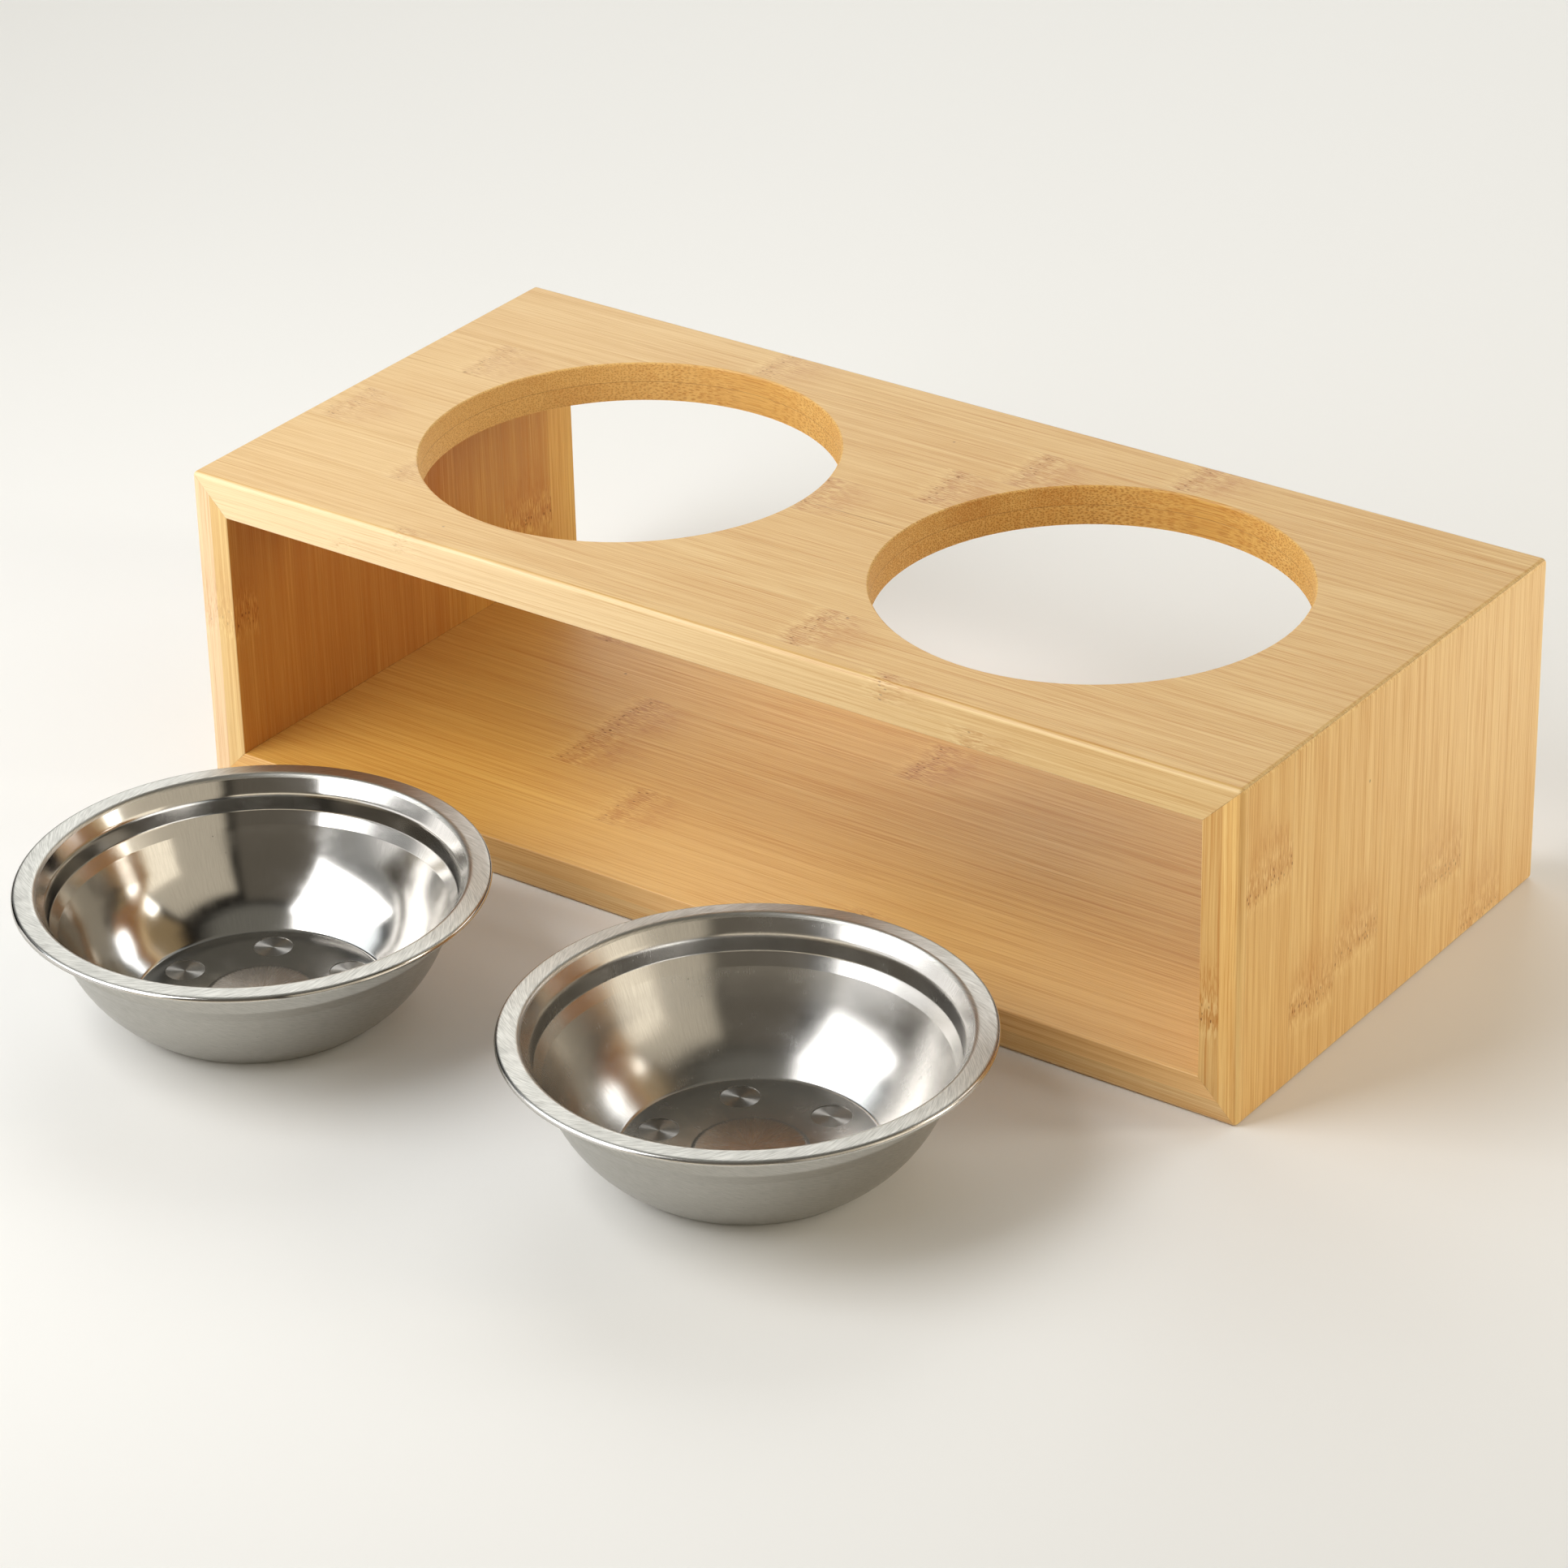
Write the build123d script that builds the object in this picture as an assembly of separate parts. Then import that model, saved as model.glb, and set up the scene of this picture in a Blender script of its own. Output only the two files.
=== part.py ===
"""Raised feeding stand for a small pet: a mitred bamboo box frame, open front and back, with two
pressed steel bowls that drop into its top. The bowls stand on the floor in front of the frame.

Millimetres, +Z up. The origin is the middle of the frame's underside. X runs along the frame's
length, and its front faces -Y.
"""

from build123d import *
from math import sqrt
import os

# Frame. Its length and depth follow from the bowls, by the wood left around their holes.
HEIGHT = 100.0
END_MARGIN = 35.75
FRONT_MARGIN = 19.25
OUTER_PLY = 6.0
INNER_PLY = 6.0
EDGE_ROUNDING = 1.5
OPENING_EASING = 0.4

# Bowl holes in the top, and the gap between the rims of two bowls that sit in them
RIM_GAP = 27.0
HOLE_CLEARANCE = 1.65
HOLE_EASING = 0.6

# Loose tongues glued across each mitre
TONGUE_LENGTH = 10.0
TONGUE_WIDTH = 22.0
TONGUE_THICKNESS = 3.0
TONGUE_CORNER = 4.0
TONGUE_END_GAP = 0.5
TONGUE_INSET = 30.0
TONGUE_COVER = 3.2

# Bowls, pressed from one sheet. Radii are those of the sheet's underside.
SHEET = 0.7
BOWL_HEIGHT = 38.0
COLLAR_RADIUS = 59.1
RIM_WIDTH = 5.9
RIM_FALL = 0.3
LIP_DEPTH = 1.6
COLLAR_DEPTH = 6.3
COLLAR_TAPER = 0.2
SHOULDER_WIDTH = 3.4
SHOULDER_DROP = 3.4
BAND_DEPTH = 4.2
BAND_TAPER = 1.2
KNEE_INSET = 8.3
KNEE_HEIGHT = 8.3
FOOT_RADIUS = 35.2
DISC_RADIUS = 15.4
DISC_LIFT = 0.5
DISC_SLOPE = 0.9

# Bend radii of the sheet's underside
DISC_BEND = 1.2
FOOT_BEND = 2.5
KNEE_BEND = 25.0
CREASE_BEND = 1.0
SHOULDER_BEND = 2.2
COLLAR_BEND = 0.6
LIP_BEND = 0.5

# Shallow round marks pressed in the bowl's floor
MARK_COUNT = 6
MARK_RADIUS = 5.5
MARK_CIRCLE = 26.3
MARK_DEPTH = 0.2

# How each bowl stands on the floor: its shift along X from its own hole, the gap from the
# frame's front to its rim, and its turn in degrees
BOWL_PLACES = {"left": (-3.5, 24.0, 3.0), "right": (-2.5, 14.0, 12.0)}

BOARD = OUTER_PLY + INNER_PLY
RIM_RADIUS = COLLAR_RADIUS + RIM_WIDTH
HOLE_RADIUS = COLLAR_RADIUS + HOLE_CLEARANCE
HOLE_SPACING = 2 * RIM_RADIUS + RIM_GAP
HOLE_X = {"left": -HOLE_SPACING / 2, "right": HOLE_SPACING / 2}
LENGTH = HOLE_SPACING + 2 * (HOLE_RADIUS + END_MARGIN)
DEPTH = 2 * (HOLE_RADIUS + FRONT_MARGIN)
PLIES = {"outer_ply": (0.0, OUTER_PLY), "inner_ply": (OUTER_PLY, BOARD)}
SIDES = ("base", "right", "top", "left")
TONGUE_ROWS = {"front": -DEPTH / 2 + TONGUE_INSET, "middle": 0.0, "back": DEPTH / 2 - TONGUE_INSET}


def ring_corners(inset):
    """Corners of the frame's end outline in X and Z, moved in by inset, from the base's left end."""
    half = LENGTH / 2 - inset
    return [(-half, inset), (half, inset), (half, HEIGHT - inset), (-half, HEIGHT - inset)]


def along_depth(outline, depth):
    """The solid that an outline in X and Z sweeps along Y, centred on the frame."""
    return extrude(Plane.XZ * make_face(Polyline(*outline, close=True)), amount=depth / 2, both=True)


def hollow_frame():
    """The whole box frame with its edges rounded, its bay opened and its bowl holes bored."""
    outside = Pos(Z=HEIGHT / 2) * Box(LENGTH, DEPTH, HEIGHT)
    outside = fillet(outside.edges(), EDGE_ROUNDING)
    frame = outside - along_depth(ring_corners(BOARD), 2 * DEPTH)
    inside_face = ring_corners(BOARD)
    at_mouth = [
        edge
        for edge in frame.edges()
        if abs(abs(edge.center().Y) - DEPTH / 2) < 1e-3
        and abs(edge.center().X) < inside_face[1][0] + 1e-3
        and inside_face[1][1] - 1e-3 < edge.center().Z < inside_face[2][1] + 1e-3
    ]
    frame = fillet(at_mouth, OPENING_EASING)
    for x in HOLE_X.values():
        frame -= Pos(x, 0, HEIGHT - BOARD / 2) * Cylinder(HOLE_RADIUS, 2 * BOARD)
    hole_rims = [
        edge
        for edge in frame.edges().filter_by(GeomType.CIRCLE)
        if abs(edge.radius - HOLE_RADIUS) < 1e-3 and abs(edge.center().Z - HEIGHT) < 1e-3
    ]
    return fillet(hole_rims, HOLE_EASING)


def mitre_plane(corner, y):
    """A plane on the mitre at one corner: its X crosses the joint and its Z runs inwards."""
    x, z = ring_corners(0)[corner]
    inner_x, inner_z = ring_corners(BOARD)[corner]
    inwards = Vector(inner_x - x, 0, inner_z - z).normalized()
    across = Vector(0, 1, 0).cross(inwards)
    reach = TONGUE_LENGTH / 2 + TONGUE_THICKNESS / 2
    along_mitre = sqrt(2) * TONGUE_COVER + reach
    return Plane(Vector(x, y, z) + inwards * along_mitre, x_dir=across, z_dir=inwards)


def tongue_at(corner, y, end_gap=0.0):
    """One loose tongue, or with an end gap the slot that is cut for it."""
    outline = RectangleRounded(
        TONGUE_LENGTH + 2 * end_gap, TONGUE_WIDTH + 2 * end_gap, TONGUE_CORNER + end_gap
    )
    return extrude(mitre_plane(corner, y) * outline, amount=TONGUE_THICKNESS / 2, both=True)


def frame_plies():
    """Each board's outer and inner ply, cut from the frame on the mitres and on the glue line."""
    frame = hollow_frame()
    for corner in range(len(SIDES)):
        for y in TONGUE_ROWS.values():
            frame -= tongue_at(corner, y, TONGUE_END_GAP)
    for side, name in enumerate(SIDES):
        for ply, (face_out, face_in) in PLIES.items():
            out, into = ring_corners(face_out), ring_corners(face_in)
            far = (side + 1) % len(SIDES)
            outline = [out[side], out[far], into[far], into[side]]
            yield f"{name}_{ply}", frame & along_depth(outline, DEPTH)


def tongues():
    """The loose tongues in all four mitres."""
    for corner, name in enumerate(("base_left", "base_right", "top_right", "top_left")):
        for row, y in TONGUE_ROWS.items():
            yield f"tongue_{name}_{row}", tongue_at(corner, y)


def sheet_underside():
    """The line of the bowl's underside from its middle out to the edge of its lip."""
    rim_height = BOWL_HEIGHT - SHEET
    crease_radius = COLLAR_RADIUS - COLLAR_TAPER
    crease_height = rim_height - COLLAR_DEPTH
    band_radius = crease_radius - SHOULDER_WIDTH
    band_height = crease_height - SHOULDER_DROP
    wall_radius = band_radius - BAND_TAPER
    wall_height = band_height - BAND_DEPTH
    lip_radius = RIM_RADIUS - SHEET
    points = [
        (0, DISC_LIFT),
        (DISC_RADIUS - DISC_SLOPE, DISC_LIFT),
        (DISC_RADIUS, 0),
        (FOOT_RADIUS, 0),
        (wall_radius - KNEE_INSET, KNEE_HEIGHT),
        (wall_radius, wall_height),
        (band_radius, band_height),
        (crease_radius, crease_height),
        (COLLAR_RADIUS, rim_height),
        (lip_radius, rim_height - RIM_FALL),
        (lip_radius, BOWL_HEIGHT - LIP_DEPTH),
    ]
    bends = [DISC_BEND, DISC_BEND, FOOT_BEND, KNEE_BEND, CREASE_BEND]
    bends += [SHOULDER_BEND, CREASE_BEND, COLLAR_BEND, LIP_BEND]
    return FilletPolyline(*points, radius=bends)


def bowl(turn):
    """One pressed bowl with its axis on Z, and its floor marks turned by an angle in degrees."""
    section = make_face(offset(sheet_underside(), amount=SHEET, side=Side.LEFT, closed=True))
    pressed = revolve(Plane.XZ * section, axis=Axis.Z)
    for mark in PolarLocations(MARK_CIRCLE, MARK_COUNT, start_angle=turn):
        pressed -= mark * Pos(Z=SHEET - MARK_DEPTH / 2) * Cylinder(MARK_RADIUS, MARK_DEPTH)
    return pressed


def write_parts():
    os.makedirs("parts", exist_ok=True)
    pieces = dict(frame_plies()) | dict(tongues())
    for name, (shift, gap, turn) in BOWL_PLACES.items():
        place = Pos(HOLE_X[name] + shift, -(DEPTH / 2 + gap + RIM_RADIUS))
        pieces[f"bowl_{name}"] = place * bowl(turn)
    for name, piece in pieces.items():
        piece.label = name
        export_step(piece, f"parts/{name}.step")


write_parts()
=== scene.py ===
"""Looks of a raised bamboo feeding stand and its two pressed steel bowls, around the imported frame.

Everything is in metres in the row frame: X along the stand, its front faces -Y, Z up.
"""

from math import atan2, cos, hypot, pi, radians, sin, tan

import bmesh
import bpy
from mathutils import Matrix, Vector


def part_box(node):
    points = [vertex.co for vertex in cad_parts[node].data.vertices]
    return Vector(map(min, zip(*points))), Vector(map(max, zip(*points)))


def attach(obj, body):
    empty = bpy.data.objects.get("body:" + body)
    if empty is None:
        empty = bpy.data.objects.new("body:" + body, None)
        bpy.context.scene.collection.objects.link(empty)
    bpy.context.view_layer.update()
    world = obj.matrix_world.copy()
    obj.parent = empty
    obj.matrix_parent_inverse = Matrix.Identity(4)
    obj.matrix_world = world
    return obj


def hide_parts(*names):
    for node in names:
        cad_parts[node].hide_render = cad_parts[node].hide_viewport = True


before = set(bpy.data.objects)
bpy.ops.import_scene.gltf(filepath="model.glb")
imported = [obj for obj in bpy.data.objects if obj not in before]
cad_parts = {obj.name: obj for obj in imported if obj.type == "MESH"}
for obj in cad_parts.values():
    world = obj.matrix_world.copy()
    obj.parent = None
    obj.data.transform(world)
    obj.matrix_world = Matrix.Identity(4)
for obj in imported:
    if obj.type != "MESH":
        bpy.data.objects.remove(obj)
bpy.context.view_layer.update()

MM = 0.001

# Bowl holes through the stand's top
HOLE_RADIUS = 60.75 * MM
HOLE_X = 78.5 * MM

# Bowl: its sheet, and the line of its underside in millimetres, as the radius and height of
# each corner and the bend at each corner between the first and the last
SHEET = 0.7 * MM
UNDERSIDE = [
    (0, 0.5), (14.5, 0.5), (15.4, 0), (35.2, 0), (46.5, 9.0), (53.9, 24.4),
    (56.1, 28.0), (56.5, 32.8), (59.3, 37.25), (64.3, 37.0), (64.3, 36.4),
]
BENDS = [1.2, 1.2, 2.5, 42.0, 0.8, 2.0, 3.2, 0.9, 0.5]
SPOTS, SPOT_RADIUS, SPOT_CIRCLE, SPOT_DEPTH = 6, 5.5 * MM, 26.3 * MM, 0.2 * MM
AROUND, AROUND_SPOT = 224, 56
SMOOTH_UP_TO = radians(32)

# A bowl's finishes, in the order of its material slots, and where they end on its top side
POLISHED, RIM, SATIN, SPOT, DISC = range(5)
RIM_INNER, RIM_OUTER, RIM_ABOVE = 58.3 * MM, 64.3 * MM, 34.5 * MM
SPOT_ABOVE, SPOT_BELOW = 0.3 * MM, SHEET - SPOT_DEPTH / 2
DISC_OUTER = 15.2 * MM

# Each bowl's turn in degrees, and how rough its polished inside is
BOWLS = {"bowl_left": (3.0, (0.12, 0.16)), "bowl_right": (12.0, (0.20, 0.25))}

scene = bpy.context.scene


# Nodes ---------------------------------------------------------------------------------------

def add(tree, kind, inputs=(), **settings):
    """One node of a kind, its settings set and its inputs given by name or place."""
    node = tree.nodes.new(kind)
    for name, value in settings.items():
        setattr(node, name, value)
    for name, value in dict(inputs).items():
        put(tree, node.inputs[name], value)
    return node


def put(tree, socket, value):
    """A value or another node's output into a socket."""
    if isinstance(value, bpy.types.NodeSocket):
        tree.links.new(value, socket)
    else:
        socket.default_value = value


def sum_up(tree, operation, *values, clamp=False):
    """One Math node's result."""
    node = add(tree, "ShaderNodeMath", enumerate(values), operation=operation, use_clamp=clamp)
    return node.outputs[0]


def inverse(tree, share):
    """What a share leaves of 1."""
    return sum_up(tree, "SUBTRACT", 1.0, share)


def vector_sum(tree, operation, *values):
    """One Vector Math node's result."""
    node = add(tree, "ShaderNodeVectorMath", operation=operation)
    for place, value in enumerate(values):
        put(tree, node.inputs[place], value)
    return node.outputs["Value" if operation in ("LENGTH", "DOT_PRODUCT", "DISTANCE") else 0]


def split(tree, vector):
    """A vector's three parts."""
    return add(tree, "ShaderNodeSeparateXYZ", {0: vector}).outputs


def join(tree, x=0.0, y=0.0, z=0.0):
    """A vector from its three parts."""
    return add(tree, "ShaderNodeCombineXYZ", {0: x, 1: y, 2: z}).outputs[0]


def fade(tree, value, low, high, to_low=0.0, to_high=1.0):
    """A value carried smoothly from one span to another and held at its ends."""
    node = add(tree, "ShaderNodeMapRange", interpolation_type="SMOOTHSTEP")
    for name, given in zip(("Value", "From Min", "From Max", "To Min", "To Max"),
                           (value, low, high, to_low, to_high)):
        put(tree, node.inputs[name], given)
    return node.outputs[0]


def blend(tree, share, first, second, kind="MIX"):
    """Two colours mixed."""
    node = add(tree, "ShaderNodeMix", data_type="RGBA", blend_type=kind)
    put(tree, node.inputs["Factor"], share)
    put(tree, node.inputs[6], first)
    put(tree, node.inputs[7], second)
    return node.outputs[2]


def cloud(tree, vector, detail=2.0, roughness=0.5, scale=1.0):
    """Noise from 0 to 1 at a point."""
    node = add(tree, "ShaderNodeTexNoise",
               {"Vector": vector, "Scale": scale, "Detail": detail, "Roughness": roughness})
    return node.outputs[0]


def stretched(tree, parts, along, across, through, shift=None):
    """A point with each part divided by its own length in millimetres, moved by a shift."""
    made = join(tree, *(sum_up(tree, "MULTIPLY", part, 1 / length)
                        for part, length in zip(parts, (along, across, through))))
    return vector_sum(tree, "ADD", made, shift) if shift else made


def new_group(name, takes, gives):
    """An empty shader node group with named sockets: its tree, its inputs and its output node."""
    tree = bpy.data.node_groups.new(name, "ShaderNodeTree")
    for label, kind, value in takes:
        socket = tree.interface.new_socket(label, in_out="INPUT", socket_type="NodeSocket" + kind)
        socket.default_value = value
    for label, kind in gives:
        tree.interface.new_socket(label, in_out="OUTPUT", socket_type="NodeSocket" + kind)
    return tree, tree.nodes.new("NodeGroupInput").outputs, tree.nodes.new("NodeGroupOutput")


def use(tree, group, **values):
    """A group placed in a material, with its values given by name, spaces written as _."""
    node = add(tree, "ShaderNodeGroup", node_tree=group)
    for name, value in values.items():
        put(tree, node.inputs[name.replace("_", " ")], value)
    return node.outputs


def new_material(name):
    """A material with nothing but its Principled BSDF: the material, its tree and the shader."""
    material = bpy.data.materials.new(name)
    material.use_nodes = True
    tree = material.node_tree
    return material, tree, tree.nodes["Principled BSDF"]


# Bamboo --------------------------------------------------------------------------------------

PALE = (0.76, 0.53, 0.255)
HONEY = (0.70, 0.44, 0.175)
DEEP_HONEY = {"left_inner_ply": (0.56, 0.31, 0.11)}
FIBRE = (0.57, 0.29, 0.09)
LIGHT_FIBRE = (0.86, 0.66, 0.36)
FLAME_BROWN = (0.50, 0.215, 0.045)
BAND_BROWN = (0.48, 0.21, 0.045)
DOT_BROWN = (0.20, 0.065, 0.012)
PORE_BROWN = (0.36, 0.17, 0.045)
GLUE_BROWN = (0.36, 0.19, 0.06)
FLAW_BROWN = (0.20, 0.10, 0.04)
SEAM_BROWN = (0.20, 0.09, 0.025)
# The pale of sanding, also mixed in as painted light on some plies
SANDED_AND_PAINTED_LIGHT_PALE = (0.93, 0.70, 0.48)
ACROSS_TINT = (1.06, 1.12, 1.25)


def strip_group():
    """Which strip of a laminated ply a point is in, and how near its glued edge is."""
    tree, given, out = new_group(
        "Laminated strips",
        [("Point", "Vector", (0, 0, 0)), ("Strip Width", "Float", 22.9),
         ("First Edge", "Float", -98.3), ("Strips", "Float", 8.0)],
        [("Strip", "Float"), ("Place in Table", "Float"), ("Edge", "Float"), ("Middle", "Float")])
    across = split(tree, given["Point"])[1]
    across = sum_up(tree, "MULTIPLY", across, 1000.0)
    turns = sum_up(tree, "DIVIDE", sum_up(tree, "SUBTRACT", across, given["First Edge"]),
                   given["Strip Width"])
    index = sum_up(tree, "FLOOR", turns)
    share = sum_up(tree, "FRACT", turns)
    middle = sum_up(tree, "SUBTRACT", share, 0.5)
    near = sum_up(tree, "SUBTRACT", 0.5, sum_up(tree, "ABSOLUTE", middle))
    put(tree, out.inputs["Strip"], index)
    put(tree, out.inputs["Place in Table"],
        sum_up(tree, "DIVIDE", sum_up(tree, "ADD", index, 0.5), given["Strips"]))
    put(tree, out.inputs["Edge"], sum_up(tree, "MULTIPLY", near, given["Strip Width"]))
    put(tree, out.inputs["Middle"], middle)
    return tree


def knuckle_group():
    """The mark that a cane's joint leaves across a strip: its row of dots, the brown band round
    it, the flame of short dashes on one side, and pale swirls."""
    tree, given, out = new_group(
        "Cane knuckle",
        [("Along", "Float", 0.0), ("Across", "Float", 0.0), ("Through", "Float", 0.0),
         ("Strip", "Float", 0.0), ("Middle", "Float", 0.0), ("First", "Float", 900.0),
         ("Second", "Float", 900.0)],
        [("Band", "Float"), ("Flame", "Float"), ("Dots", "Float"), ("Flecks", "Float")])
    point = (given["Along"], given["Across"], given["Through"])
    salt = sum_up(tree, "MULTIPLY", given["Strip"], 7.31)
    sway = cloud(tree, join(tree, sum_up(tree, "MULTIPLY", given["Across"], 0.11), salt,
                            sum_up(tree, "MULTIPLY", given["Through"], 0.15)), 3.0, 0.6)
    sway = sum_up(tree, "MULTIPLY", sum_up(tree, "SUBTRACT", sway, 0.5), 6.0)
    along = sum_up(tree, "ADD", given["Along"], sway)
    first = sum_up(tree, "SUBTRACT", along, given["First"])
    second = sum_up(tree, "SUBTRACT", along, given["Second"])
    nearer = sum_up(tree, "LESS_THAN", sum_up(tree, "ABSOLUTE", first),
                    sum_up(tree, "ABSOLUTE", second))
    away = add(tree, "ShaderNodeMix", data_type="FLOAT")
    put(tree, away.inputs["Factor"], nearer)
    put(tree, away.inputs[2], second)
    put(tree, away.inputs[3], first)
    away = away.outputs[0]
    rag = cloud(tree, stretched(tree, point, 5.0, 0.42, 0.5), 2.0, 0.6)
    rag = sum_up(tree, "SUBTRACT", rag, 0.5)
    far = sum_up(tree, "ABSOLUTE", sum_up(tree, "SUBTRACT", away, 0.8))
    ragged = sum_up(tree, "ADD", far, sum_up(tree, "MULTIPLY", rag, 6.0))
    band = fade(tree, ragged, 0.2, 5.6, 1.0, 0.0)
    # The flame is longest in the middle of the strip
    bow = sum_up(tree, "MULTIPLY", given["Middle"], given["Middle"])
    reach = sum_up(tree, "ADD", away, sum_up(tree, "MULTIPLY", bow, 34.0))
    reach = sum_up(tree, "ADD", reach, sum_up(tree, "MULTIPLY", rag, 9.0))
    above = fade(tree, away, -3.0, 2.0)
    flame = sum_up(tree, "MULTIPLY", above, fade(tree, reach, 6.0, 25.0, 1.0, 0.0))
    flame = sum_up(tree, "MAXIMUM", flame, band)
    dash = fade(tree, cloud(tree, stretched(tree, point, 4.2, 0.32, 0.4), 1.0, 0.5), 0.50, 0.60)
    dash = sum_up(tree, "ADD", sum_up(tree, "MULTIPLY", dash, 0.70), 0.30)
    # Dots are the ends of fibres that turn out through the joint
    cells = add(tree, "ShaderNodeTexVoronoi", {
        "Vector": stretched(tree, point, 2.0, 0.85, 0.85), "Scale": 1.0, "Randomness": 1.0},
        feature="F1")
    pick = split(tree, cells.outputs["Color"])[0]
    dot = fade(tree, cells.outputs["Distance"], 0.20, 0.32, 1.0, 0.0)
    dot = sum_up(tree, "MULTIPLY", dot, sum_up(tree, "GREATER_THAN", pick, 0.50))
    row = sum_up(tree, "ADD", sum_up(tree, "ABSOLUTE", away), sum_up(tree, "MULTIPLY", rag, 2.6))
    row = fade(tree, row, 0.9, 2.8, 1.0, 0.0)
    stray = sum_up(tree, "MULTIPLY", band, sum_up(tree, "GREATER_THAN", pick, 0.86))
    swirl = cloud(tree, stretched(tree, point, 4.0, 0.36, 0.5), 1.0, 0.5)
    put(tree, out.inputs["Band"], band)
    put(tree, out.inputs["Flame"], sum_up(tree, "MULTIPLY", flame, dash))
    put(tree, out.inputs["Dots"], sum_up(tree, "MULTIPLY", dot,
                                         sum_up(tree, "MAXIMUM", row, stray)))
    put(tree, out.inputs["Flecks"], sum_up(tree, "MULTIPLY", fade(tree, far, 4.0, 10.0, 1.0, 0.0),
                                           fade(tree, swirl, 0.50, 0.59)))
    return tree


def bamboo_group():
    """Bamboo as it is cut: fibres that streak a face along them and dot a face across them."""
    tree, given, out = new_group(
        "Bamboo grain",
        [("Point", "Vector", (0, 0, 0)), ("Facing", "Float", 0.0), ("Strip", "Float", 0.0),
         ("Edge", "Float", 5.0), ("Tint", "Float", 0.5), ("Knuckle Band", "Float", 0.0),
         ("Knuckle Flame", "Float", 0.0), ("Knuckle Dots", "Float", 0.0),
         ("Knuckle Flecks", "Float", 0.0), ("Streak Width", "Float", 0.55),
         ("Pore Size", "Float", 0.8), ("Seam", "Float", 0.0), ("Bleached", "Float", 0.0),
         ("Bored", "Float", 0.0), ("Core", "Float", 0.3),
         ("Light Fibre", "Color", (*LIGHT_FIBRE, 1)), ("Stain", "Color", (1, 1, 1, 1)),
         ("Pale", "Color", (*PALE, 1)), ("Honey", "Color", (*HONEY, 1)),
         ("Fibre", "Color", (*FIBRE, 1))],
        [("Color", "Color"), ("Roughness", "Float"), ("Height", "Float")])
    point = vector_sum(tree, "SCALE", given["Point"])
    point.node.inputs["Scale"].default_value = 1000.0
    along, across, through = split(tree, point)
    salt = add(tree, "ShaderNodeTexWhiteNoise", {"W": given["Strip"]},
               noise_dimensions="1D").outputs["Color"]
    shift = vector_sum(tree, "SCALE", salt)
    shift.node.inputs["Scale"].default_value = 83.0
    # Fibres run nearly straight, and swirl only at a knuckle
    parts = (along, across, through)
    calm = cloud(tree, stretched(tree, parts, 95.0, 22.0, 22.0, shift), 1.0, 0.5)
    stir = cloud(tree, stretched(tree, parts, 2.8, 2.4, 2.4, shift), 1.0, 0.6)
    stir = sum_up(tree, "MULTIPLY", sum_up(tree, "SUBTRACT", stir, 0.5), given["Knuckle Band"])
    wander = sum_up(tree, "ADD", sum_up(tree, "MULTIPLY", calm, 0.8),
                    sum_up(tree, "MULTIPLY", stir, 1.6))
    across = sum_up(tree, "ADD", across, wander)
    through = sum_up(tree, "ADD", through, wander)
    fine = sum_up(tree, "DIVIDE", 1.0, given["Streak Width"])
    narrow = sum_up(tree, "MULTIPLY", across, fine)
    deep = sum_up(tree, "MULTIPLY", through, fine)
    parts = (along, narrow, deep)
    broad = cloud(tree, stretched(tree, parts, 150.0, 9.0, 6.0, shift), 2.0, 0.55)
    streak = cloud(tree, stretched(tree, parts, 120.0, 2.3, 2.5, shift), 5.0, 0.9)
    thread = cloud(tree, stretched(tree, parts, 50.0, 0.42, 0.5, shift), 1.0, 0.5)
    # Bundles of tubes run through the whole strip, and drift a little in and out
    pore = sum_up(tree, "DIVIDE", 1.0, given["Pore Size"])
    drift = cloud(tree, stretched(tree, (along, across, through), 60.0, 14.0, 400.0, shift))
    drift = sum_up(tree, "MULTIPLY", drift, 3.0)
    bundle_point = join(tree, sum_up(tree, "MULTIPLY", across, pore),
                        sum_up(tree, "ADD", sum_up(tree, "MULTIPLY", through, pore), drift), 0.0)
    bundle = add(tree, "ShaderNodeTexVoronoi",
                 {"Vector": vector_sum(tree, "ADD", bundle_point, shift), "Scale": 1.0,
                  "Randomness": 0.75}, feature="F1", voronoi_dimensions="2D")
    bundle = bundle.outputs["Distance"]
    core = fade(tree, bundle, 0.16, 0.44, 1.0, 0.0)
    heart = fade(tree, bundle, 0.15, 0.36, 1.0, 0.0)
    flaw = add(tree, "ShaderNodeTexVoronoi",
               {"Vector": stretched(tree, (along, across, through), 26.0, 21.0, 21.0, shift),
                "Scale": 1.0, "Randomness": 1.0}, feature="F1").outputs["Distance"]
    flaw = fade(tree, flaw, 0.012, 0.026, 0.75, 0.0)
    # The strip's own colour, between pale and honey, with its lighter and darker fibres
    tint = sum_up(tree, "ADD", given["Tint"], sum_up(tree, "SUBTRACT", broad, 0.5), clamp=True)
    colour = blend(tree, tint, given["Pale"], given["Honey"])
    light = sum_up(tree, "MULTIPLY", fade(tree, streak, 0.47, 0.38), 0.34)
    colour = blend(tree, light, colour, given["Light Fibre"])
    line = sum_up(tree, "ADD",
                  sum_up(tree, "MULTIPLY", fade(tree, streak, 0.47, 0.62), 0.46),
                  sum_up(tree, "MULTIPLY", fade(tree, thread, 0.48, 0.60), 0.36))
    line = sum_up(tree, "ADD", line, sum_up(tree, "MULTIPLY", core, given["Core"]), clamp=True)
    colour = blend(tree, line, colour, given["Fibre"])
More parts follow.
